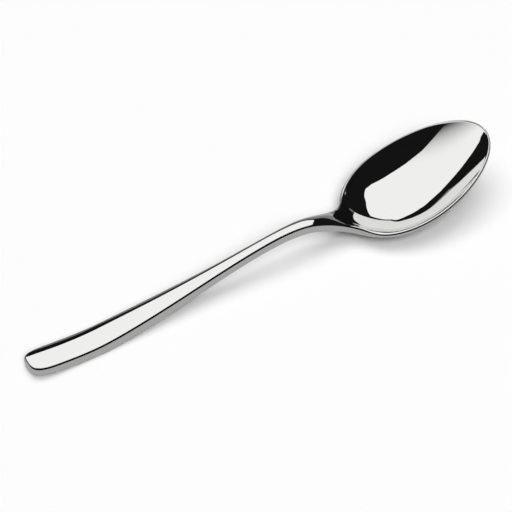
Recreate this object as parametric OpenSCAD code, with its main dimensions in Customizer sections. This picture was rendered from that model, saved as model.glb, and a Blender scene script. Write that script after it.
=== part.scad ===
// Serving spoon of polished stainless steel.
// A deep oval bowl with a neck that forks into its rim, and a slim forged handle that arches over the table.
// The bowl's tang sits in a blind socket in the neck of the handle, and the joint is polished flush.
// X runs along the spoon toward the tip, Y across it and Z up. The origin is on the table, under the middle.

/* [Overall] */
// Length of the spoon from the end of the handle to the tip of the bowl
overall_l = 236; // [190:1:290]
// Height of the bowl's tip above the table
tip_h = 31.6; // [26:0.2:36]
// Width of the small bevels along the polished edges
edge_bevel = 0.35; // [0.2:0.05:0.5]

/* [Handle] */
// Width of the broad end of the handle
handle_w = 13.9; // [10:0.1:20]
// Thickness of the handle where it is deepest
handle_t = 5.3; // [4.4:0.1:6.4]
// Width of the neck at its slimmest
neck_w = 5.4; // [4.8:0.1:8]
// Thickness of the neck
neck_t = 4.2; // [3.8:0.1:5]
// Length over which the end of the handle is rounded off
end_round_l = 14.4; // [8:0.2:20]
// Squareness of the rounded end, where 2 is an ellipse
end_power = 3.5; // [2:0.1:4]
// How far the side of the rounded end swells out past its upper edge
end_swell = 1; // [0:0.1:1.4]

/* [Bowl] */
// Length of the bowl, from its heel to its tip
bowl_l = 73.2; // [64:0.2:80]
// Width of the bowl over the rim
bowl_w = 51; // [40:0.5:60]
// Depth of the bowl below the line of its rim
bowl_d = 14.2; // [11:0.1:16]
// Thickness of the metal at the bottom of the bowl
bowl_t = 2.6; // [1.2:0.1:3]
// Thickness of the metal at the rim
rim_t = 1.4; // [1:0.1:2]

/* [Joint] */
// Length of the tang that runs into the handle
tang_l = 8; // [5:0.5:10]
// Width of the tang
tang_w = 3.6; // [2.4:0.1:4]
// Thickness of the tang
tang_t = 1.8; // [1.2:0.1:2]
// Gap all round the tang, filled by braze
tang_gap = 0.1; // [0.05:0.05:0.2]

/* [Hidden] */
// Where the neck ends and the fork begins, as a share of the length
seam_share = 0.6186;
// Where the handle starts to narrow and where it is slimmest
taper_shares = [0.07, 0.47];
// Where the neck starts to widen again, and how much wider it is at the seam
flare_share = 0.47;
flare_gain_share = 0.42;
// Height of the upper edge along the spoon, as shares of the length and of the tip's height
edge_shares = [
    [0, 0.22], [0.065, 0.18], [0.135, 0.166], [0.2, 0.21], [0.3, 0.325], [0.4, 0.464], [0.48, 0.57],
    [0.555, 0.63], [0.61, 0.58], [0.67, 0.418], [0.715, 0.335], [0.76, 0.4], [0.83, 0.549],
    [0.9, 0.719], [1, 1]
];
// Thickness of the handle along its length: at the end, over the broad part, and at the neck
thick_shares = [[0, 0.1], [0.08, 0.5], [0.15, 1], [0.3, 1], [0.45, 0.2], [0.55, 0], [0.62, 0]];
// Rise of the crowned upper face, as a share of the half width, at the end of the handle and at the neck
end_crown_share = 0.165;
neck_crown_share = 0.27;
// Levels down the side of the handle, and the share of the end's swell at each
swell_levels = [[0, 0], [0.3, 0.85], [0.6, 1], [1, 0.5]];
// Slope of the line from the bowl's heel to its tip
rim_slope = 0.316;
// Egg shape of the bowl: how much fuller the heel half is, and how square the ends are
egg_taper_share = 0.11;
egg_full_share = 0.02;
// Centre of the hollow, as a share of the bowl's length
centre_share = 0.456;
// Where the fork runs into the oval of the bowl, as an angle round it
fork_angle = 54;
// Reach of the fork's curve at each end, as shares of its length
fork_shares = [0.66, 0.52];
// The hollow's wall: how much of its rise comes steeply near the rim at the sides, how steeply, and how much
// more of it toward the heel. The rest is a parabola.
steep_share = 0.264;
steep_power = 6;
heel_gain = 0.45;
// Shares of the way out between which the hollow meets the rim or the web
edge_search = [0.8, 1.5];
// Blend at the heel, where the rim rises off its straight line into the neck
sag_blend = 0.4;
// Blend between neck and bowl on the underside
blend_r = 3;
// Angles from the neck between which the metal thins out to the rim
thin_angles = [4, 46];
// Least share of the blend that is left where neck and bowl have run together
blend_least_share = 0.01;

// Points across, along the handle, along the fork, round the oval, and rings
across_n = 8;
end_n = 8;
along_n = 30;
fork_n = 12;
oval_n = 26;
hollow_n = 13;
web_n = 3;
under_n = 14;

seam_x = overall_l * seam_share;
heel_x = overall_l - bowl_l;
centre_x = heel_x + bowl_l * centre_share;

// A smooth step from 0 to 1
function ease(u) =
    let (v = max(0, min(1, u)))
    v * v * (3 - 2 * v);

// The lower of two heights, rounded where they meet
function soft_min(a, b, r) =
    let (h = max(0, r - abs(a - b)) / r)
    min(a, b) - h * h * r / 4;

// Slope of a table of points at point i
function table_slope(t, i) =
    let (lo = max(0, i - 1), hi = min(len(t) - 1, i + 1))
    (t[hi][1] - t[lo][1]) / (t[hi][0] - t[lo][0]);

// A smooth curve through a table of points
function curve(t, x, i = 0) =
    i < len(t) - 2 && x > t[i + 1][0] ? curve(t, x, i + 1) :
    let (
        step = t[i + 1][0] - t[i][0],
        u = (x - t[i][0]) / step,
        rise = ease(u)
    )
    t[i][1] * (1 - rise) + t[i + 1][1] * rise
    + step * u * (1 - u) * ((1 - u) * table_slope(t, i) - u * table_slope(t, i + 1));

// Height of the upper edge at x
function edge_z(x) = tip_h * curve(edge_shares, x / overall_l);

// Thickness of the handle at x
function thick(x) = neck_t + (handle_t - neck_t) * curve(thick_shares, x / overall_l);

// Half width of the handle at x, before its end is rounded off
function handle_half(x) =
    let (
        taper = ease((x / overall_l - taper_shares[0]) / (taper_shares[1] - taper_shares[0])),
        flare = pow(max(0, x / overall_l - flare_share) / (seam_share - flare_share), 3)
    )
    (handle_w + (neck_w - handle_w) * taper + neck_w * flare_gain_share * flare) / 2;

seam_half = handle_half(seam_x);
seam_slope = (seam_half - handle_half(seam_x - edge_bevel)) / edge_bevel;

// Half outline of the handle, from its end to the seam
handle_side = concat(
    [for (i = [0:end_n])
        let (
            a = 90 * i / end_n,
            x = end_swell + end_round_l * (1 - pow(cos(a), 2 / end_power))
        )
        [x, handle_half(x) * pow(sin(a), 2 / end_power)]],
    [for (i = [1:along_n])
        let (start = end_swell + end_round_l, x = start + (seam_x - start) * i / along_n)
        [x, handle_half(x)]]
);

// Half width of the oval, before it is scaled, at angle a round it from the heel
function oval_width(a) = sin(a) * (1 + egg_taper_share * cos(a) + egg_full_share * cos(2 * a));
oval_peak = max([for (a = [60:2:120]) oval_width(a)]);

// Point of the oval at angle a round it from the heel, when it is drawn in by a margin
function oval(a, margin = 0) = [
    heel_x + margin + (bowl_l - 2 * margin) * (1 - cos(a)) / 2,
    (bowl_w / 2 - margin) * oval_width(a) / oval_peak
];

// Curve of the fork between the seam and the oval, at share t of its way
fork_end = oval(fork_angle);
fork_run = oval(fork_angle + 1) - oval(fork_angle - 1);
fork_span = norm(fork_end - [seam_x, seam_half]);
fork_out = [seam_x, seam_half] + [1, seam_slope] * fork_span * fork_shares[0];
fork_in = fork_end - fork_run / norm(fork_run) * fork_span * fork_shares[1];
function fork(t) =
    pow(1 - t, 3) * [seam_x, seam_half]
    + 3 * t * pow(1 - t, 2) * fork_out
    + 3 * t * t * (1 - t) * fork_in
    + pow(t, 3) * fork_end;

// Half outline of the bowl, from the seam to the tip
bowl_side = concat(
    [for (i = [0:fork_n]) fork(i / fork_n)],
    [for (i = [1:oval_n]) oval(fork_angle + (180 - fork_angle) * i / oval_n)]
);

// Outward direction of a half outline at point i
function outward(side, i) =
    i == 0 && side[0][1] == 0 ? [-1, 0] :
    i == len(side) - 1 && side == bowl_side ? [1, 0] :
    i == 0 || i == len(side) - 1 ? [0, 1] :
    let (run = side[i + 1] - side[i - 1])
    [-run[1], run[0]] / norm(run);

// Half outline moved inward by the bevel
function inset(side) = [for (i = [0:len(side) - 1]) side[i] - edge_bevel * outward(side, i)];
handle_inset = inset(handle_side);
bowl_inset = inset(bowl_side);

// Height of the crowned upper face above its edge at x, at share s of the half width
function crown(x, half, s) =
    (end_crown_share + (neck_crown_share - end_crown_share) * min(1, x / seam_x)) * half * (1 - min(1, s * s));

// The same triangles turned to face the other way
function turned(faces) = [for (f = faces) [f[2], f[1], f[0]]];

// Ring round the tang at distance d back from the seam, larger all round by gap, with n points on each side
seam_top = edge_z(seam_x);
tang_rise = (edge_z(seam_x - tang_l) - seam_top) / tang_l;
function tang_z(d) = seam_top - neck_t / 2 + crown(seam_x, seam_half, 0) / 2 + tang_rise * d;
function tang_ring(d, gap, n) =
    let (
        x = seam_x - d,
        w = tang_w / 2 + gap,
        t = tang_t / 2 + gap,
        z = tang_z(d)
    )
    concat(
        [for (j = [0:across_n]) [x, (2 * j / across_n - 1) * w, z + t]],
        [for (i = [1:n]) [x, w, z + t - 2 * t * i / (n + 1)]],
        [for (j = [across_n:-1:0]) [x, (2 * j / across_n - 1) * w, z - t]],
        [for (i = [n:-1:1]) [x, -w, z + t - 2 * t * i / (n + 1)]]
    );
function tang_middle(d) = [seam_x - d, 0, tang_z(d)];

// Handle: rows of points across it at each station of its half outline
handle_last = len(handle_side) - 1;
row_n = across_n + 1;
wall_n = len(swell_levels);
function handle_rows(upper) = concat(
    [let (x = handle_inset[0][0]) [x, 0, edge_z(x) - (upper ? 0 : thick(x))]],
    [for (i = [1:handle_last])
        let (
            x = i == handle_last ? seam_x : handle_inset[i][0],
            half = handle_side[i][1]
        )
        for (j = [0:across_n])
            let (s = 2 * j / across_n - 1)
            [x, s * handle_inset[i][1], edge_z(x) + (upper ? crown(x, half, s) : -thick(x))]]
);

// Loop round the side of the handle, at share d of the way down and swollen by share s of the end's swell
function handle_loop(d, s) = [
    for (k = [-handle_last:handle_last])
        let (
            edge = handle_side[abs(k)],
            fade = 1 - ease((edge[0] - end_swell) / end_round_l),
            p = edge + end_swell * s * fade * outward(handle_side, abs(k)),
            drop = edge_bevel + d * (thick(edge[0]) - 2 * edge_bevel)
        )
        [p[0], sign(k) * p[1], edge_z(edge[0]) - drop]
];
handle_points = concat(
    handle_rows(true),
    handle_rows(false),
    [for (level = swell_levels) each handle_loop(level[0], level[1])],
    tang_ring(0, tang_gap, wall_n),
    tang_ring(tang_l + tang_gap, tang_gap, wall_n),
    [tang_middle(tang_l + tang_gap)]
);

// Places of those points in the list
rows_len = 1 + handle_last * row_n;
wall_len = 2 * handle_last + 1;
function row_id(base, i, j) = i == 0 ? base : base + 1 + (i - 1) * row_n + j;
function rim_ids(base) = [
    for (k = [-handle_last:handle_last]) row_id(base, abs(k), k > 0 ? across_n : 0)
];
function span(start, n) = [for (i = [0:n - 1]) start + i];
wall_at = 2 * rows_len;
socket_mouth = wall_at + wall_n * wall_len;
socket_n = 2 * (row_n + wall_n);
socket_end = socket_mouth + socket_n;
handle_seam_ids = concat(
    [for (j = [0:across_n]) row_id(0, handle_last, j)],
    [for (i = [1:wall_n]) wall_at + i * wall_len - 1],
    [for (j = [across_n:-1:0]) row_id(rows_len, handle_last, j)],
    [for (i = [wall_n - 1:-1:0]) wall_at + i * wall_len]
);

// Triangles over the rows from one station to the next, facing up
function sheet(base) = concat(
    [for (j = [0:across_n - 1]) [base, row_id(base, 1, j + 1), row_id(base, 1, j)]],
    [for (i = [1:handle_last - 1], j = [0:across_n - 1])
        let (
            a = row_id(base, i, j),
            b = row_id(base, i + 1, j),
            c = row_id(base, i + 1, j + 1),
            d = row_id(base, i, j + 1)
        )
        for (f = [[a, d, c], [a, c, b]]) f]
);

// Triangles from a pole to the ring round it
function cap(pole, ids) = [for (i = [0:len(ids) - 1]) [pole, ids[i], ids[(i + 1) % len(ids)]]];

// Triangles between two rows of point numbers
function strip(high, low, closed = false) = [
    for (i = [0:len(high) - (closed ? 1 : 2)])
        let (j = (i + 1) % len(high))
        for (f = [[high[j], high[i], low[i]], [high[j], low[i], low[j]]]) f
];

handle_faces = concat(
    sheet(0),
    turned(sheet(rows_len)),
    strip(rim_ids(0), span(wall_at, wall_len)),
    [for (i = [1:wall_n - 1])
        each strip(span(wall_at + (i - 1) * wall_len, wall_len), span(wall_at + i * wall_len, wall_len))],
    strip(span(wall_at + (wall_n - 1) * wall_len, wall_len), rim_ids(rows_len)),
    turned(strip(handle_seam_ids, span(socket_mouth, socket_n), true)),
    turned(strip(span(socket_mouth, socket_n), span(socket_end, socket_n), true)),
    cap(socket_end + socket_n, span(socket_end, socket_n))
);

// Bowl: one point of its outline for each direction from the centre of the hollow
side_last = len(bowl_side) - 1;
ring_n = row_n + 2 * side_last - 1;
function side_of(k) = k < row_n ? 0 : k < row_n + side_last ? k - across_n : ring_n - k;
function across_share(k) = k < row_n ? 2 * k / across_n - 1 : k < row_n + side_last ? 1 : -1;
function mirrored(p, k) = [p[0], k < row_n + side_last ? p[1] : -p[1]];
outer = [
    for (k = [0:ring_n - 1])
        k < row_n ? [seam_x, across_share(k) * seam_half] : mirrored(bowl_side[side_of(k)], k)
];
lip = [
    for (k = [0:ring_n - 1])
        k < row_n ? [seam_x, across_share(k) * (seam_half - edge_bevel)] :
        mirrored(bowl_inset[side_of(k)], k)
];
centre = [centre_x, 0];
reach = [for (p = outer) norm(p - centre)];
angle = [for (p = outer) atan2(abs(p[1]), centre_x - p[0])];

// Reach of the oval in the direction at this angle from the heel, found by halving
function oval_reach(way, margin, lo = 0, hi = 180, tries = 24) =
    let (middle = (lo + hi) / 2, p = oval(middle, margin))
    tries == 0 ? norm(p - centre) :
    atan2(p[1], centre_x - p[0]) < way ? oval_reach(way, margin, middle, hi, tries - 1) :
    oval_reach(way, margin, lo, middle, tries - 1);

// Reach of the hollow's own oval, one rim's width in, and of the oval of the underside
hollow_reach = [for (a = angle) oval_reach(a, rim_t)];
under_reach = [for (a = angle) oval_reach(a, 0)];

// Straight line from the bowl's heel to its tip, in side view
function rim_line(x) = tip_h - rim_slope * (overall_l - x);

// Height of the web between the neck and the hollow
function web_z(p) =
    edge_z(p[0])
    + crown(p[0], seam_half, p[1] / seam_half) * (1 - ease((p[0] - seam_x) / (heel_x - seam_x)));

// Rise of the hollow's wall at share s of the way out in direction k
steep = [for (a = angle) steep_share * (1 - pow(cos(a), 2)) * (1 + heel_gain * cos(a))];
function rise(k, s) = (1 - steep[k]) * s * s + steep[k] * pow(s, steep_power);

// How far the rim's edge lies under its straight line in direction k
sag = [
    for (k = [0:ring_n - 1])
        let (x = centre_x - hollow_reach[k] * cos(angle[k]))
        soft_min(0, edge_z(x) - rim_line(x), sag_blend)
];

// Point of the hollow at share s of the way out to its oval in direction k
function hollow_point(k, s) =
    let (p = centre + s * hollow_reach[k] / reach[k] * (outer[k] - centre))
    [p[0], p[1], rim_line(p[0]) - bowl_d * (1 - rise(k, s)) + sag[k] * s * s];

// Share of the way out where the hollow comes up to the rim or the web, found by halving
function edge_share(k, lo, hi, tries = 24) =
    let (middle = (lo + hi) / 2, p = hollow_point(k, middle))
    tries == 0 ? middle :
    p[2] < web_z(p) ? edge_share(k, middle, hi, tries - 1) : edge_share(k, lo, middle, tries - 1);
edge_at = [
    for (k = [0:ring_n - 1])
        edge_share(k, edge_search[0], min(edge_search[1], (reach[k] - 2 * edge_bevel) / hollow_reach[k]))
];
hollow_edge = [for (k = [0:ring_n - 1]) hollow_point(k, edge_at[k])];

// Height of the underside at point p in direction k: the neck's and the bowl's, blended
neck_share = [
    for (a = angle) 1 - ease((a - thin_angles[0]) / (thin_angles[1] - thin_angles[0]))
];
function under_z(p, k) =
    let (
        s = norm(p - centre) / under_reach[k],
        bowl = rim_line(p[0]) - rim_t - (bowl_d + bowl_t - rim_t) * (1 - rise(k, s)) + sag[k] * s * s,
        neck = edge_z(p[0]) - rim_t - (neck_t - rim_t) * neck_share[k]
    )
    soft_min(bowl, neck, blend_r * max(blend_least_share, neck_share[k]));
function under_point(k, s) =
    let (p = centre + s * (lip[k] - centre))
    [p[0], p[1], under_z(p, k)];

all_k = [0:ring_n - 1];
wall_k = concat([for (k = [across_n:ring_n - 1]) k], [0]);
hollow_rings = [for (i = [1:hollow_n], k = all_k) hollow_point(k, edge_at[k] * i / hollow_n)];
web_rings = [
    for (i = [1:web_n], k = all_k)
        let (
            edge = [hollow_edge[k][0], hollow_edge[k][1]],
            p = edge + (lip[k] - edge) * i / web_n
        )
        [p[0], p[1], web_z(p)]
];
under_rings = [for (i = [under_n:-1:1], k = all_k) under_point(k, i / under_n)];
bowl_points = concat(
    [hollow_point(0, 0)],
    hollow_rings,
    web_rings,
    under_rings,
    [under_point(0, 0)],
    [for (k = wall_k) [outer[k][0], outer[k][1], edge_z(outer[k][0]) - edge_bevel]],
    [for (k = wall_k) [outer[k][0], outer[k][1], under_z(outer[k], k) + edge_bevel]],
    tang_ring(0, 0, 2),
    tang_ring(tang_l, 0, 2),
    [tang_middle(tang_l)]
);

// Places of those points in the list
function ring_ids(i) = span(1 + i * ring_n, ring_n);
upper_n = hollow_n + web_n;
rings_all = upper_n + under_n;
under_pole = 1 + rings_all * ring_n;
upper_edge = under_pole + 1;
lower_edge = upper_edge + len(wall_k);
tang_root = lower_edge + len(wall_k);
tang_n = 2 * (row_n + 2);
tang_end = tang_root + tang_n;
function picked(ids, ks) = [for (k = ks) ids[k]];
bowl_seam_ids = concat(
    picked(ring_ids(upper_n - 1), span(0, row_n)),
    [upper_edge, lower_edge],
    picked(ring_ids(upper_n), [across_n:-1:0]),
    [lower_edge + len(wall_k) - 1, upper_edge + len(wall_k) - 1]
);

bowl_faces = concat(
    cap(0, ring_ids(0)),
    [for (i = [0:upper_n - 2]) each turned(strip(ring_ids(i + 1), ring_ids(i), true))],
    strip(picked(ring_ids(upper_n - 1), wall_k), span(upper_edge, len(wall_k))),
    strip(span(upper_edge, len(wall_k)), span(lower_edge, len(wall_k))),
    strip(span(lower_edge, len(wall_k)), picked(ring_ids(upper_n), wall_k)),
    [for (i = [upper_n:rings_all - 2]) each strip(ring_ids(i), ring_ids(i + 1), true)],
    turned(cap(under_pole, ring_ids(rings_all - 1))),
    strip(bowl_seam_ids, span(tang_root, tang_n), true),
    strip(span(tang_root, tang_n), span(tang_end, tang_n), true),
    turned(cap(tang_end + tang_n, span(tang_end, tang_n)))
);

// Lowest point of the spoon, which rests on the table
lowest = min([for (p = concat(handle_points, bowl_points)) p[2]]);

module placed() {
    translate([-overall_l / 2, 0, -lowest])
        children();
}

module handle() {
    color("silver")
        placed()
            polyhedron(handle_points, handle_faces, convexity = 4);
}

module bowl() {
    color("gainsboro")
        placed()
            polyhedron(bowl_points, bowl_faces, convexity = 6);
}

handle();
bowl();
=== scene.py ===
import math

import bpy
import numpy as np
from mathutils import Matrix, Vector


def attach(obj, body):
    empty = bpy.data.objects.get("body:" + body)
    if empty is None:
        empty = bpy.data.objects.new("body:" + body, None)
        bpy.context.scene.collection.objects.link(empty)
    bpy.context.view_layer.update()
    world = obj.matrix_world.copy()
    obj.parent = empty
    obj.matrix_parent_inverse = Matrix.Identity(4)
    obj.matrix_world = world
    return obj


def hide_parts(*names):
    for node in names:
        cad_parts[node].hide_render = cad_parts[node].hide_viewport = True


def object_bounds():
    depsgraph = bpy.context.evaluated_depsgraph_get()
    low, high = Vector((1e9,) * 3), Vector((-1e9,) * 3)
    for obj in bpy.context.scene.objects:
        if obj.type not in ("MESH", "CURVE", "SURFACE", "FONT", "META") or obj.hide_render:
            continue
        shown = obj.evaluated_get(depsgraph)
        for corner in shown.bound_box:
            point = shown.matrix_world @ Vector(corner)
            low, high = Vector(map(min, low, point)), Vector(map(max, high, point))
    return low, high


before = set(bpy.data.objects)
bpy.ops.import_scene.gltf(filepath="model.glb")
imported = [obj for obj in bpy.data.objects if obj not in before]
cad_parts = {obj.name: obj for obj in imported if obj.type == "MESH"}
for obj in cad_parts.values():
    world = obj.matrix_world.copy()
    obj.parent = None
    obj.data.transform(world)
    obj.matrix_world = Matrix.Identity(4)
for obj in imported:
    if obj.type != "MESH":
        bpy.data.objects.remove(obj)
cad_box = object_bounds()

# Handle
# It is forged from 18/10 stainless steel, crowned on top, flat below and bent to arch over the table. Its end
# is rounded in plan, with a plain wall over a soft lower edge. It is ground, polished to a mirror and brazed
# flush to the neck of the bowl.
MM = 0.001
# Sizes are in millimetres, and places are counted along the spoon from the end of the handle
spoon_l = round((cad_box[1][0] - cad_box[0][0]) / MM, 1)
tip_z = 31.6
handle_w, neck_w, neck_t = 13.9, 5.4, 4.2
seam_x = spoon_l * 0.6186
# The taper starts and runs over these shares of the spoon's length, and a small flare runs on to the neck
taper_from, taper_over = 0.045, 0.51
flare_x, flare_gain = 0.47 * spoon_l, 0.42 * neck_w
# The end in plan: the length and the fullness of its curve, and where the lines over its top run together
end_round, end_power, end_middle = 14.4, 3.5, 8.0
# How far in and down the upper edge is rounded, and the radius of the lower edge, also at the handle's end
edge_r, edge_fall = 1.25, 1.8
low_edge_r, end_low_r = 0.7, 1.5
# Crown of the upper face as a share of its half width, what the rounded end takes off it, and where the
# neck's crown fades out over the web
end_crown, neck_crown, end_fade = 0.18, 0.31, 0.1
neck_fade_x, neck_fade_l = 147, 16

# Along the spoon: height of its upper edge, thickness of the handle, and crown of the handle
edge_line = [
    (0, 6.95), (15.3, 5.6), (31.9, 5.05), (47.2, 6.5), (70.8, 10.03), (94.4, 14.3), (113.3, 17.8),
    (131, 19.95), (141, 19.18), (148, 16.94), (158.1, 13.21), (168.7, 10.59), (179.4, 12.64), (195.9, 17.35),
    (212.4, 22.72), (spoon_l, tip_z),
]
thick_line = [(0, 3.8), (18, 4.4), (35, 4.85), (70, 4.55), (106, 4.0), (130, 4.15), (148, neck_t)]
crown_line = [(0, end_crown), (30, 0.2), (60, 0.265), (85, 0.305), (110, 0.325), (seam_x, neck_crown)]

# Points in the mesh: from the middle to the edge, round an edge, down a wall, round the end, along the side
across_n, arc_n, wall_n = 14, 12, 9
end_n, end_fine_n, side_n = 90, 4000, 260
# Rounds that find where an edge starts, and the step to one more column past the seam, for the normals there
settle_n = 6
seam_step = 0.25
# The columns of the side turn square to the spoon's length from here on, over this length
square_x, square_l = 14, 20


def spline(points):
    """A curve through the points with no step in its curvature, so that the polish runs through unbroken."""
    x, y = np.array(points, float).T
    n, gap = len(x), np.diff(x)
    left, right = np.eye(n), np.zeros(n)
    for i in range(1, n - 1):
        left[i, i - 1: i + 2] = gap[i - 1], 2 * (gap[i - 1] + gap[i]), gap[i]
        right[i] = 6 * ((y[i + 1] - y[i]) / gap[i] - (y[i] - y[i - 1]) / gap[i - 1])
    bend = np.linalg.solve(left, right)

    def at(place):
        place = np.asarray(place, float)
        i = np.clip(np.searchsorted(x, place) - 1, 0, n - 2)
        a = (x[i + 1] - place) / gap[i]
        b = 1 - a
        arch = (a**3 - a) * bend[i] + (b**3 - b) * bend[i + 1]
        return a * y[i] + b * y[i + 1] + arch * gap[i] ** 2 / 6

    return at


edge_z, thick, crown_at = (spline(line) for line in (edge_line, thick_line, crown_line))


def ease(u):
    """A smooth step from 0 to 1."""
    v = np.clip(u, 0, 1)
    return v * v * v * (v * (6 * v - 15) + 10)


def handle_half(x):
    """Half the width of the handle at x, before its end is rounded off."""
    taper = ease((x / spoon_l - taper_from) / taper_over)
    flare = (np.maximum(0, x - flare_x) / (seam_x - flare_x)) ** 3
    return (handle_w + (neck_w - handle_w) * taper + flare_gain * flare) / 2


def crown_share(x):
    """Rise of the crowned upper face at x, as a share of its half width."""
    share = crown_at(np.clip(x, 0, seam_x))
    return share * (1 - end_fade * (1 - ease(x / end_round))) * (1 - ease((x - neck_fade_x) / neck_fade_l))


def crown(points):
    """Height of the crowned upper face over the line of its edges."""
    half = handle_half(points[..., 0])
    return crown_share(points[..., 0]) * half * (1 - (points[..., 1] / half) ** 2)


def even(points, n):
    """The same line with n points at even distances."""
    along = np.concatenate([[0], np.cumsum(np.linalg.norm(np.diff(points, axis=0), axis=1))])
    stops = np.linspace(0, along[-1], n)
    return np.stack([np.interp(stops, along, points[:, i]) for i in range(2)], 1)


def outward(side, square):
    """Level directions out of a side, and straight across the spoon where square is 1."""
    run = np.gradient(side, axis=0)
    out = np.stack([-run[:, 1], run[:, 0]], 1)
    out /= np.linalg.norm(out, axis=1)[:, None]
    return out * (1 - square) + np.array([0.0, 1.0]) * square


def edge_start(slope, r_in, r_down):
    """How far in from the wall a crowned face turns into its rounded edge, and the oval's angle there."""
    inset = 0.0
    for _ in range(settle_n):
        angle = np.arctan(slope(inset) * r_in / r_down)
        inset = r_in * (1 - np.sin(angle))
    return inset, angle


def edge_arc(start, r_in, r_down):
    """How far in from the wall and down from the face a rounded edge lies, from the face to the wall."""
    turned = start + (math.pi / 2 - start) * np.linspace(0, 1, arc_n)[1:]
    return r_in * (1 - np.sin(turned)), r_down * (np.cos(start) - np.cos(turned))


def low_arc(r):
    """How far in from the wall and up from the underside a lower edge lies, starting at the wall."""
    return (part[::-1] for part in edge_arc(0.0, r, r))


wall_shares = np.linspace(0, 1, wall_n)[1:-1]


def handle_column(edge, out, middle_x):
    """One line of points over the handle, from the middle of its top round its side to the middle below."""
    middle = np.array([middle_x, 0.0])

    def slope(inset):
        x, y = edge - inset * out
        return 2 * crown_share(x) * y / handle_half(x) * out[1]

    inset, start = edge_start(slope, edge_r, edge_fall)
    top = middle + np.linspace(0, 1, across_n + 1)[:, None] * (edge - inset * out - middle)
    over = crown(top)
    low = top[::-1]
    arc_in, arc_down = edge_arc(start, edge_r, edge_fall)
    low_r = low_edge_r + (end_low_r - low_edge_r) * (1 - ease(edge[0] / end_round))
    low_in, low_up = low_arc(low_r)
    arc_up = edge - arc_in[:, None] * out
    wall = np.tile(edge, (len(wall_shares), 1))
    arc_low = edge - low_in[:, None] * out
    wall_top = edge_z(edge[0]) + over[-1] - arc_down[-1]
    wall_low = edge_z(edge[0]) - thick(edge[0]) + low_r
    z = np.concatenate([
        edge_z(top[:, 0]) + over,
        edge_z(arc_up[:, 0]) + over[-1] - arc_down,
        wall_top + (wall_low - wall_top) * wall_shares,
        wall_low - low_r + low_up,
        edge_z(low[:, 0]) - thick(low[:, 0]),
    ])
    return np.column_stack([np.concatenate([top, arc_up, wall, arc_low, low]), z])


# One side of the handle in plan, from the middle of its end to one step past the seam
end_angle = np.linspace(0, math.pi / 2, end_fine_n)
end_x = end_round * (1 - np.cos(end_angle) ** (2 / end_power))
end_curve = np.stack([end_x, handle_half(end_x) * np.sin(end_angle) ** (2 / end_power)], 1)
long_x = np.append(np.linspace(end_x[-1], seam_x, side_n), seam_x + seam_step)
handle_side = np.concatenate([even(end_curve, end_n)[:-1], np.stack([long_x, handle_half(long_x)], 1)])
side_x = handle_side[:, 0]
handle_square = ease((side_x - square_x) / square_l)
handle_out = outward(handle_side, handle_square[:, None])
handle_out[0] = -1, 0
middle_line = side_x + (np.hypot(side_x, end_middle) - side_x) * (1 - handle_square)
half_columns = np.array([handle_column(*column) for column in zip(handle_side, handle_out, middle_line)])
lift = -half_columns[:, :, 2].min()


def placed(points):
    """Millimetres from the end of the handle, made metres in the frame of the part."""
    return (points + [-spoon_l / 2, 0, lift]) * MM


def quads(ids, closed=False):
    """Faces over a grid of point numbers."""
    rows = np.concatenate([ids, ids[:1]]) if closed else ids
    return np.stack([rows[:-1, :-1], rows[1:, :-1], rows[1:, 1:], rows[:-1, 1:]], -1).reshape(-1, 4)


def add_object(name, data):
    """A new object in the scene, for a mesh, a camera or a lamp."""
    thing = bpy.data.objects.new(name, data)
    bpy.context.scene.collection.objects.link(thing)
    return thing


def steel_mesh(name, points, faces, beyond, seam):
    """A smooth mesh, closed by a flat face at the seam. The faces beyond only steady the normals there."""
    least_length = 1e-12
    all_faces = np.concatenate([faces, beyond])
    a, b, c, d = (points[all_faces[:, i]] for i in range(4))
    face_normal = np.cross(c - a, d - b)
    normal = np.zeros_like(points)
    for i in range(4):
        np.add.at(normal, all_faces[:, i], face_normal)
    normal /= np.maximum(np.linalg.norm(normal, axis=1), least_length)[:, None]
    used = np.unique(np.concatenate([faces.ravel(), seam]))
    number = np.full(len(points), -1)
    number[used] = np.arange(len(used))
    shown = [list(dict.fromkeys(face)) for face in number[faces].tolist()] + [number[seam].tolist()]
    mesh = bpy.data.meshes.new(name)
    mesh.from_pydata(points[used].tolist(), [], shown)
    mesh.validate()
    mesh.shade_smooth()
    mesh.normals_split_custom_set_from_vertices(normal[used].tolist())
    return add_object(name, mesh)


# Both sides of the handle share the points of its middle lines. The first and last strips lie past the seam
mirror = np.array([1, -1, 1])
column_n, ring_n = half_columns.shape[:2]
handle_points = placed(np.concatenate([half_columns.reshape(-1, 3), (half_columns * mirror).reshape(-1, 3)]))
left_ids = np.arange(column_n * ring_n).reshape(column_n, ring_n)
right_ids = left_ids + column_n * ring_n
right_ids[:, 0], right_ids[:, -1], right_ids[0] = left_ids[:, 0], left_ids[:, -1], left_ids[0]
handle_faces = quads(np.concatenate([right_ids[:0:-1], left_ids]))
handle_beyond = np.concatenate([handle_faces[:ring_n - 1], handle_faces[1 - ring_n:]])
handle_seam = np.concatenate([left_ids[-2], right_ids[-2][-2:0:-1]])
handle = steel_mesh(
    "handle_forged", handle_points, handle_faces[ring_n - 1: 1 - ring_n], handle_beyond, handle_seam
)


def linear(code):
    """An sRGB hex colour as the linear colour that a shader takes."""
    parts = [int(code[i: i + 2], 16) / 255 for i in (1, 3, 5)]
    return [c / 12.92 if c <= 0.04045 else ((c + 0.055) / 1.055) ** 2.4 for c in parts] + [1.0]


def new_material(name):
    """A material with an empty node tree."""
    material = bpy.data.materials.new(name)
    material.use_nodes = True
    material.node_tree.nodes.clear()
    return material, material.node_tree


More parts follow.
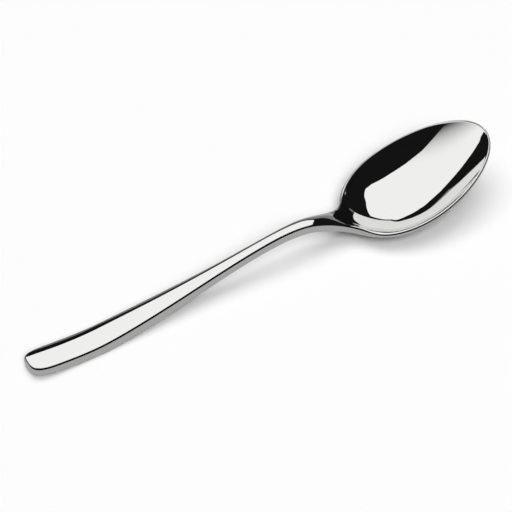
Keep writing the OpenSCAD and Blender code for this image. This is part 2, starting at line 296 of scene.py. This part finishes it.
def add_node(tree, kind, settings=None, **inputs):
    """Adds a node with its settings, and with inputs by name, or by number as in _0, as values or links."""
    node = tree.nodes.new(kind)
    for key, value in (settings or {}).items():
        setattr(node, key, value)
    for key, value in inputs.items():
        socket = node.inputs[int(key[1:]) if key[1:].isdigit() else key.replace("_", " ")]
        if isinstance(value, bpy.types.NodeSocket):
            tree.links.new(value, socket)
        else:
            socket.default_value = value
    return node


# 18/10 stainless steel, ground and buffed to a mirror. It is neutral in colour and shows the room sharply, a
# little softer in the wide patches that the wheel leaves. The wheel's lines run along the spoon, and are
# drawn coarser than real ones so that they can show. The sizes of both are in millimetres.
steel_tone = "#e8e8e7"
patch_w, patch_low, patch_high = 50 / 3, 0.35, 0.75
steel_clear, steel_soft = 0.015, 0.05
line_l, line_w, line_depth, line_strength = 4.0, 0.4, 0.01, 0.05
steel, steel_tree = new_material("stainless_18_10_mirror_polished")
steel_place = add_node(steel_tree, "ShaderNodeTexCoord")
patches = add_node(
    steel_tree, "ShaderNodeTexNoise", Vector=steel_place.outputs["Object"], Scale=1 / (patch_w * MM),
    Detail=4.0,
)
blur = add_node(
    steel_tree, "ShaderNodeMapRange", Value=patches.outputs["Fac"], From_Min=patch_low, From_Max=patch_high,
    To_Min=steel_clear, To_Max=steel_soft,
)
line_scale = (1 / (line_l * MM), 1 / (line_w * MM), 1 / (line_w * MM))
stretch = add_node(
    steel_tree, "ShaderNodeVectorMath", {"operation": "MULTIPLY"}, _0=steel_place.outputs["Object"],
    _1=line_scale,
)
lines = add_node(steel_tree, "ShaderNodeTexNoise", Vector=stretch.outputs["Vector"], Scale=1.0, Detail=2.0)
buffed = add_node(
    steel_tree, "ShaderNodeBump", Height=lines.outputs["Fac"], Strength=line_strength,
    Distance=line_depth * MM,
)
polish = add_node(
    steel_tree, "ShaderNodeBsdfPrincipled", Base_Color=linear(steel_tone), Metallic=1.0,
    Roughness=blur.outputs["Result"], Normal=buffed.outputs["Normal"],
)
add_node(steel_tree, "ShaderNodeOutputMaterial", Surface=polish.outputs["BSDF"])
handle.data.materials.append(steel)
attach(handle, "root")
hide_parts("handle")

# Bowl
# The bowl, its rim and the neck that forks into it are one forging of the same steel, pressed hollow, ground
# and buffed. The metal thins from the neck toward a narrow rounded rim. The tang behind the neck is brazed
# into the handle.
bowl_l, bowl_w, bowl_d, bowl_t = 73.2, round((cad_box[1][1] - cad_box[0][1]) / MM, 1), 14.2, 2.6
heel_x = spoon_l - bowl_l
centre_x = heel_x + bowl_l * 0.456
# The rim: its thickness, its slope in side view, and its lip, drawn up over this length from the heel
rim_t, rim_slope = 1.4, 0.316
lip_w, lip_r, lip_fall, lip_up, lip_blend_l = 1.4, 1.0, 1.1, 0.45, 12
# The oval in plan, fuller toward the heel, the angle round it where the fork ends, and the fork's two pulls
egg_taper, egg_full = 0.11, 0.02
fork_angle, neck_pull, rim_pull = 54, 0.66, 0.52
# The hollow's wall: how much of it steepens toward the rim, how fast, and how much more of it toward the heel
steep_share, steep_power, heel_gain = 0.264, 6, 0.45
# Blends: of the rim's sag, of the neck's underside into the bowl's with its least share, and at the hollow's
# edge
sag_blend, under_blend, least_blend, hollow_edge_r = 0.9, 3.0, 0.01, 0.5
# The neck's underside runs into the bowl's from this angle off the heel, over this many degrees
neck_angle, neck_angle_over = 4, 42
# The web's crown spans no more than this many times half the neck
web_limit = 2.2
# The directions out of the fork turn from straight across the spoon over this length
fork_turn_l = 3
# Points in the mesh: the fork, the rim, the hollow, its outer tenth, the web or rim, and the underside
fork_n, oval_n, hollow_n, close_n, web_n, under_n = 64, 130, 70, 26, 14, 46
close_from = 0.9
# Finer points, from which the others are taken
fork_fine_n, oval_fine_n, reach_fine_n, peak_fine_n, fork_knots = 2000, 3000, 7201, 721, 12
# The hollow's edge is sought between these shares of the oval's reach, in this many halvings
share_least, share_most, halvings = 0.8, 1.5, 40
seam_half = float(handle_half(seam_x))
seam_rise = (seam_half - float(handle_half(seam_x - seam_step))) / seam_step


def soft_min(a, b, r):
    """The lower of two heights, rounded where they meet."""
    near = np.maximum(0, r - np.abs(a - b)) / r
    return np.minimum(a, b) - near * near * r / 4


def oval_width(a):
    """Width of the egg-shaped oval at this angle round it, from the heel at 0 to the tip at pi."""
    return np.sin(a) * (1 + egg_taper * np.cos(a) + egg_full * np.cos(2 * a))


oval_peak = oval_width(np.linspace(0, math.pi, peak_fine_n)).max()


def oval(degrees, margin=0.0):
    """Points of the bowl's oval at these angles round it from the heel, when it is drawn in by a margin."""
    a = np.radians(degrees)
    along = heel_x + margin + (bowl_l - 2 * margin) * (1 - np.cos(a)) / 2
    return np.stack([along, (bowl_w / 2 - margin) * oval_width(a) / oval_peak], -1)


def pulled(a, b, c, d, n):
    """A curve from a to d that leaves toward b and comes in from c."""
    t = np.linspace(0, 1, n)[:, None]
    return (1 - t) ** 3 * a + 3 * t * (1 - t) ** 2 * b + 3 * t * t * (1 - t) * c + t**3 * d


# One side of the bowl in plan: the fork from the neck to the rim, and the rim to the tip
fork_before, fork_end, fork_after = oval(np.array([fork_angle - 1.0, fork_angle, fork_angle + 1.0]))
fork_run = (fork_after - fork_before) / np.linalg.norm(fork_after - fork_before)
fork_start = np.array([seam_x, seam_half])
fork_span = np.linalg.norm(fork_end - fork_start)
fork = pulled(
    fork_start, fork_start + np.array([1, seam_rise]) * fork_span * neck_pull,
    fork_end - fork_run * fork_span * rim_pull, fork_end, fork_fine_n,
)
rim_side = even(oval(np.linspace(fork_angle, 180, oval_fine_n)), oval_n)
bowl_side = np.concatenate([even(fork, fork_n)[:-1], rim_side])
bowl_out = outward(bowl_side, 1 - ease((bowl_side[:, 0] - seam_x) / fork_turn_l)[:, None])
bowl_out[-1] = 1, 0

# One column for each point of the outline, counted round from the far side of the neck, and across the neck
flip = np.array([1, -1])
neck_y = np.linspace(-1, 1, 2 * across_n + 1)[1:-1] * seam_half
neck_points = np.stack([np.full(len(neck_y), seam_x), neck_y], 1)
outer = np.concatenate([bowl_side, bowl_side[-2::-1] * flip, neck_points])
out = np.concatenate([bowl_out, bowl_out[-2::-1] * flip, np.tile([-1.0, 0.0], (len(neck_y), 1))])
outer_n, rim_n = len(outer), 2 * len(bowl_side) - 1
on_rim = np.arange(outer_n) < rim_n
centre = np.array([centre_x, 0.0])
way = (outer - centre) / np.linalg.norm(outer - centre, axis=1)[:, None]
angle = np.arctan2(np.abs(outer[:, 1]), centre_x - outer[:, 0])
neck_share = 1 - ease((np.degrees(angle) - neck_angle) / neck_angle_over)


def oval_reach(margin):
    """How far the oval, drawn in by a margin, reaches from the centre in the direction of each column."""
    points = oval(np.linspace(0, 180, reach_fine_n), margin) - centre
    return np.interp(angle, np.arctan2(points[:, 1], -points[:, 0]), np.linalg.norm(points, axis=1))


hollow_reach = oval_reach(lip_w)
under_reach = oval_reach(0.0)
half_along = spline(even(fork, fork_knots))


def rim_line(x):
    """The straight line from the bowl's heel to its tip, in side view."""
    return tip_z - rim_slope * (spoon_l - x)


def web_shape(x):
    """Half the width over which the web between the neck and the hollow is crowned, and its crown's share."""
    half = np.minimum(half_along(np.clip(x, seam_x, heel_x)), web_limit * seam_half)
    return half, crown_share(x)


# The outer edge: round on the neck, and drawn up to a narrow lip on the rim
lip_share = ease((outer[:, 0] - heel_x) / lip_blend_l)
lip_in = edge_r + (lip_r - edge_r) * lip_share
lip_down = edge_fall + (lip_fall - edge_fall) * lip_share
web_half, web_share = web_shape(outer[:, 0])
inset, edge_angle = edge_start(lambda depth: 2 * web_share * (1 - depth / web_half), lip_in, lip_down)
inner = np.where(on_rim[:, None], outer - inset[:, None] * out, outer * [1, 1 - inset[0] / seam_half])


def web_z(points):
    """Height of the rim's lip, and of the web, which carries the handle's crown on."""
    half, share = web_shape(points[..., 0])
    lip = lip_up * lip_share.reshape([-1] + [1] * (points.ndim - 2))
    return edge_z(points[..., 0]) + lip + share * half * np.maximum(0, 1 - (points[..., 1] / half) ** 2)


# The wall is steepest at the bowl's sides. The rim sags below its straight line, and the wall sags with it
steep = steep_share * (1 - np.cos(angle) ** 2) * (1 + heel_gain * np.cos(angle))
sag_x = centre_x - hollow_reach * np.cos(angle)
sag = soft_min(0, edge_z(sag_x) - rim_line(sag_x), sag_blend)


def wall_rise(share):
    """Rise of the hollow's wall at this share of the way out: a parabola that steepens toward the rim."""
    return (1 - steep[:, None]) * share**2 + steep[:, None] * share**steep_power


def hollow_z(points):
    """Height of the hollow."""
    share = np.linalg.norm(points - centre, axis=-1) / hollow_reach[:, None]
    return rim_line(points[..., 0]) - bowl_d * (1 - wall_rise(share)) + sag[:, None] * share**2


def under_z(points):
    """Height of the underside: the neck's and the bowl's, run together."""
    share = np.linalg.norm(points - centre, axis=-1) / under_reach[:, None]
    depth = (bowl_d + bowl_t - rim_t) * (1 - wall_rise(share))
    under_bowl = rim_line(points[..., 0]) - rim_t - depth + sag[:, None] * share**2
    under_neck = edge_z(points[..., 0]) - rim_t - (neck_t - rim_t) * neck_share[:, None]
    return soft_min(under_bowl, under_neck, under_blend * np.maximum(least_blend, neck_share)[:, None])


# The hollow ends where its wall comes up to the rim or to the web, found by halving
low_share = np.full(outer_n, share_least)
high_share = np.minimum(share_most, np.linalg.norm(inner - centre, axis=1) / hollow_reach)
for _ in range(halvings):
    edge_share = (low_share + high_share) / 2
    edge_points = centre + (edge_share * hollow_reach)[:, None, None] * way[:, None]
    under = (hollow_z(edge_points) < web_z(edge_points))[:, 0]
    low_share, high_share = np.where(under, edge_share, low_share), np.where(under, high_share, edge_share)
edge_reach = edge_share * hollow_reach
hollow_edge = centre + edge_reach[:, None] * way

# The upper face: rings of the hollow, close together where its edge is rounded, and of the rim or web
hollow_rings = np.concatenate([
    np.linspace(0, close_from, hollow_n)[1:],
    np.linspace(close_from, 1.0, close_n)[1:],
])
web_rings = np.linspace(0, 1, web_n)[1:]
upper_plan = np.concatenate([
    centre + (hollow_rings * edge_reach[:, None])[..., None] * way[:, None],
    hollow_edge[:, None] + web_rings[None, :, None] * (inner - hollow_edge)[:, None],
], 1)
upper_z = soft_min(hollow_z(upper_plan), web_z(upper_plan), hollow_edge_r)
upper = np.concatenate([upper_plan, upper_z[..., None]], 2)

# The underside
under_rings = np.linspace(1, 0, under_n)[:-1]
lower_plan = centre + under_rings[None, :, None] * (inner - centre)[:, None]
lower = np.concatenate([lower_plan, under_z(lower_plan)[..., None]], 2)

# The side: the rounded upper edge, the wall and the rounded lower edge
arcs = [edge_arc(*column) for column in zip(edge_angle, lip_in, lip_down)]
arc_in, arc_down = np.array(arcs).transpose(1, 0, 2)
low_in, low_up = low_arc(low_edge_r)
over = (web_z(inner) - edge_z(inner[:, 0]))[:, None]
arc_up = outer[:, None] - arc_in[..., None] * out[:, None]
arc_low = outer[:, None] - low_in[None, :, None] * out[:, None]
wall = np.repeat(outer[:, None], len(wall_shares), 1)
wall_top = edge_z(outer[:, 0]) + over[:, 0] - arc_down[:, -1]
wall_low = under_z(outer[:, None])[:, 0] + low_edge_r
side_z = np.concatenate([
    edge_z(arc_up[..., 0]) + over - arc_down,
    wall_top[:, None] + wall_shares[None] * (wall_low - wall_top)[:, None],
    (wall_low - low_edge_r)[:, None] + low_up[None],
], 1)
side = np.concatenate([np.concatenate([arc_up, wall, arc_low], 1), side_z[..., None]], 2)

# Point numbers: upper face, side, underside, their two middle points, and the column past the seam
poles = np.array([
    [centre_x, 0, rim_line(centre_x) - bowl_d],
    [centre_x, 0, rim_line(centre_x) - bowl_d - bowl_t],
])
past_x = seam_x - seam_step
past = handle_column(np.array([past_x, handle_half(past_x)]), np.array([0.0, 1.0]), past_x)
grids = [upper, side[:rim_n], lower]
bowl_points = placed(np.concatenate([grid.reshape(-1, 3) for grid in grids] + [poles, past, past * mirror]))
upper_n, edge_n, lower_n = (grid.shape[1] for grid in grids)
upper_ids = np.arange(outer_n * upper_n).reshape(outer_n, upper_n)
side_ids = upper_ids[-1, -1] + 1 + np.arange(rim_n * edge_n).reshape(rim_n, edge_n)
lower_ids = side_ids[-1, -1] + 1 + np.arange(outer_n * lower_n).reshape(outer_n, lower_n)
pole_id = lower_ids[-1, -1] + 1
past_ids = pole_id + 2 + np.arange(2 * len(past)).reshape(2, -1)
past_ids[1, 0], past_ids[1, -1] = past_ids[0, 0], past_ids[0, -1]
around = np.concatenate([upper_ids[:rim_n, -1:], side_ids, lower_ids[:rim_n, :1]], 1)
bowl_faces = np.concatenate([
    quads(np.concatenate([np.full((outer_n, 1), pole_id), upper_ids], 1), closed=True),
    quads(around),
    quads(np.concatenate([lower_ids, np.full((outer_n, 1), pole_id + 1)], 1), closed=True),
])

# The loop of points round the seam, and the same loop on the column past it
neck_columns = np.concatenate([np.arange(rim_n - 1, outer_n), [0]])
bowl_seam = np.concatenate([
    upper_ids[neck_columns, -1], side_ids[0], lower_ids[neck_columns, 0][::-1], side_ids[-1][::-1],
])
past_loop = np.concatenate([past_ids[1, across_n::-1], past_ids[0, 1:], past_ids[1, -2:across_n:-1]])
bowl_beyond = quads(np.stack([np.append(loop, loop[0]) for loop in (bowl_seam, past_loop)]))
bowl = steel_mesh("bowl_forged", bowl_points, bowl_faces, bowl_beyond, bowl_seam)
bowl.data.materials.append(steel)
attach(bowl, "root")
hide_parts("bowl")

# Camera
# A long lens above the near side of the table, level, and turned toward the bowl. Its place is in
# millimetres from the middle of the spoon's length, and its focal length is in pixels of the photograph.
turn_z, look_down = math.radians(31.435), math.radians(45.0)
camera_at = np.array([-337.17, -544.61, 650.23])
sensor_w, focal_px, frame_px = 36, 2041.87, 512
clip_near, clip_far = 0.05, 20
camera = add_object("camera", bpy.data.cameras.new("camera"))
camera.location = camera_at * MM
camera.rotation_euler = (math.pi / 2 - look_down, 0, -turn_z)
camera.data.sensor_width = sensor_w
camera.data.lens = sensor_w * focal_px / frame_px
camera.data.clip_start, camera.data.clip_end = clip_near, clip_far
bpy.context.scene.camera = camera


# Studio
# A white table in a dark room. The polished steel mirrors a large softbox over the table, a grey screen
# behind it, the dark of the room and a grey card that lies on the table. The camera sees none of these: it
# sees the bare white table, which two wide lamps light. Sizes are in metres.
def stage_mesh(name, points, faces, material):
    """A piece of the studio, which is no part of the spoon."""
    mesh = bpy.data.meshes.new(name)
    mesh.from_pydata(points, [], faces)
    mesh.materials.append(material)
    piece = add_object(name, mesh)
    return piece


def card(name, points, faces, material):
    """A piece of the studio that shows in the steel alone."""
    piece = stage_mesh(name, points, faces, material)
    piece.visible_camera = piece.visible_diffuse = piece.visible_shadow = False


glint_share = 0.1


def glow(name, code, strength=1.0):
    """The finish of a card that glows in the steel. The glints that the steel throws are cut to a share."""
    material, tree = new_material(name)
    path = add_node(tree, "ShaderNodeLightPath")
    level = add_node(
        tree, "ShaderNodeMapRange", Value=path.outputs["Diffuse Depth"], To_Min=strength,
        To_Max=glint_share * strength,
    )
    light = add_node(tree, "ShaderNodeEmission", Color=linear(code), Strength=level.outputs["Result"])
    add_node(tree, "ShaderNodeOutputMaterial", Surface=light.outputs["Emission"])
    return material, tree, level, light


def in_room(right, away, up):
    """A point this far to the camera's right, away from it and above the table."""
    x = math.cos(turn_z) * right + math.sin(turn_z) * away
    return x, math.cos(turn_z) * away - math.sin(turn_z) * right, up


# The softbox, by its outline to the camera's right and away from it. It fades toward its near left corner
softbox_up, softbox_hub, softbox_level = 0.45, (-0.2, 0.2), 1.06
softbox_edge = [
    (-0.19, -0.37), (-0.09, -0.23), (-0.02, -0.18), (0.1, -0.14), (0.33, -0.02), (0.395, 0.06), (0.39, 0.25),
    (0.365, 0.39), (0.36, 0.8), (0.18, 0.88), (0.06, 0.88), (-0.01, 0.8), (-0.17, 0.72), (-0.3, 0.67),
    (-0.42, 0.7), (-0.55, 0.75), (-0.63, 0.71), (-0.73, 0.65), (-0.82, 0.53), (-0.84, 0.44), (-0.8, 0.35),
    (-0.9, 0.0), (-0.7, -0.3), (-0.45, -0.45),
]
fade_way, fade_dark, fade_full, fade_power = in_room(0.43, 1.0, 0), -0.46, -0.14, 1.7
softbox_points = [in_room(*point, softbox_up) for point in [softbox_hub] + softbox_edge]
softbox_n = len(softbox_edge)
softbox_white, softbox_tree, softbox_glow, softbox_light = glow("softbox_white", "#ffffff", softbox_level)
softbox_place = add_node(softbox_tree, "ShaderNodeTexCoord")
along = add_node(
    softbox_tree, "ShaderNodeVectorMath", {"operation": "DOT_PRODUCT"}, _0=softbox_place.outputs["Object"],
    _1=fade_way,
)
corner = add_node(
    softbox_tree, "ShaderNodeMapRange", Value=along.outputs["Value"], From_Min=fade_dark, From_Max=fade_full,
    To_Min=1.0, To_Max=0.0,
)
curve = add_node(
    softbox_tree, "ShaderNodeMath", {"operation": "POWER"}, _0=corner.outputs["Result"], _1=fade_power
)
rest = add_node(softbox_tree, "ShaderNodeMath", {"operation": "SUBTRACT"}, _0=1.0, _1=curve.outputs["Value"])
faded = add_node(
    softbox_tree, "ShaderNodeMath", {"operation": "MULTIPLY"}, _0=softbox_glow.outputs["Result"],
    _1=rest.outputs["Value"],
)
softbox_tree.links.new(faded.outputs["Value"], softbox_light.inputs["Strength"])
softbox_faces = [(0, i + 1, (i + 1) % softbox_n + 1) for i in range(softbox_n)]
card("softbox", softbox_points, softbox_faces, softbox_white)

# The dark of the room: a dome round the table, that reaches below it
room_r, room_n = 2.6, 24
room_tilts = (math.pi / 6, math.pi / 3, math.pi / 2, 2 * math.pi / 3)
room_points = [(0, 0, room_r)] + [
    in_room(room_r * math.sin(t) * math.sin(a), room_r * math.sin(t) * math.cos(a), room_r * math.cos(t))
    for t in room_tilts
    for a in np.linspace(0, 2 * math.pi, room_n, endpoint=False)
]
room_sides = [(i, (i + 1) % room_n) for i in range(room_n)]
room_faces = [(0, 1 + a, 1 + b) for a, b in room_sides] + [
    (ring + a, ring + b, ring + room_n + b, ring + room_n + a)
    for ring in range(1, 1 + (len(room_tilts) - 1) * room_n, room_n)
    for a, b in room_sides
]
card("dark_room", room_points, room_faces, glow("room_dark", "#161616")[0])

# The grey screen, bent round the far side of the table, between these degrees to the camera's left and right
screen_r, screen_low, screen_high = 2.4, 0.03, 0.74
screen_left, screen_right, screen_step = -36, 44, 8
screen_angles = [math.radians(a) for a in range(screen_left, screen_right + 1, screen_step)]
screen_points = [
    in_room(screen_r * math.sin(a), screen_r * math.cos(a), z)
    for z in (screen_low, screen_high)
    for a in screen_angles
]
screen_n = len(screen_angles)
screen_faces = [(i, i + 1, screen_n + i + 1, screen_n + i) for i in range(screen_n - 1)]
card("screen", screen_points, screen_faces, glow("screen_grey", "#868686")[0])

# The grey card, of which a share is lit by the lamps, so that the spoon's shadow shows on it in the steel
table_half, card_tone, lit_share = 3, "#b9b9b9", 0.5
table_corners = [(x * table_half, y * table_half, 0) for x, y in ((-1, -1), (1, -1), (1, 1), (-1, 1))]
table_face = [(0, 1, 2, 3)]
card_grey, card_tree, _, card_light = glow("table_grey", card_tone)
lit = add_node(card_tree, "ShaderNodeBsdfDiffuse", Color=linear(card_tone))
half_lit = add_node(
    card_tree, "ShaderNodeMixShader", Fac=lit_share, _1=card_light.outputs["Emission"], _2=lit.outputs["BSDF"]
)
card_tree.links.new(half_lit.outputs["Shader"], card_tree.nodes["Material Output"].inputs["Surface"])
card("table_seen_in_steel", table_corners, table_face, card_grey)

# The table: matt white paper, on which the camera sees the spoon's soft shadow and no gloss. The room behind
# it looks as white, and gives it little light
table_tone, sky_light = "#fdfdfd", 0.04
table_white, table_tree = new_material("table_white")
paper = add_node(table_tree, "ShaderNodeBsdfDiffuse", Color=linear(table_tone))
add_node(table_tree, "ShaderNodeOutputMaterial", Surface=paper.outputs["BSDF"])
table = stage_mesh("table", table_corners, table_face, table_white)
table.visible_glossy = table.visible_shadow = False

world = bpy.data.worlds.new("studio")
bpy.context.scene.world = world
world.use_nodes = True
sky_tree = world.node_tree
sky = sky_tree.nodes["Background"]
sky_path = add_node(sky_tree, "ShaderNodeLightPath")
shows = add_node(
    sky_tree, "ShaderNodeMath", {"operation": "MAXIMUM"}, _0=sky_path.outputs["Is Camera Ray"],
    _1=sky_path.outputs["Is Glossy Ray"],
)
sky_level = add_node(
    sky_tree, "ShaderNodeMapRange", Value=shows.outputs["Value"], To_Min=sky_light, To_Max=1.0
)
sky_tree.links.new(sky_level.outputs["Result"], sky.inputs["Strength"])
sky.inputs["Color"].default_value = linear(table_tone)

# Two wide lamps make the shadow: one overhead, and one from the camera's side, a little to its right. Each
# has its level on the table and, in degrees, its tilt from overhead, its bearing clockwise from straight
# away from the camera, and its width
lamps = (("overhead", 0.49, 6, 240, 48), ("key", 0.47, 41, 168, 24))
for name, level, tilt, bearing, width in lamps:
    lamp = add_object(name, bpy.data.lights.new(name, "SUN"))
    lamp.data.angle = math.radians(width)
    lamp.data.energy = level * math.pi / math.cos(math.radians(tilt))
    lamp.rotation_euler = (math.radians(tilt), 0, math.radians(180 - bearing) - turn_z)
    lamp.visible_glossy = False

bpy.context.scene.view_settings.view_transform = "Standard"
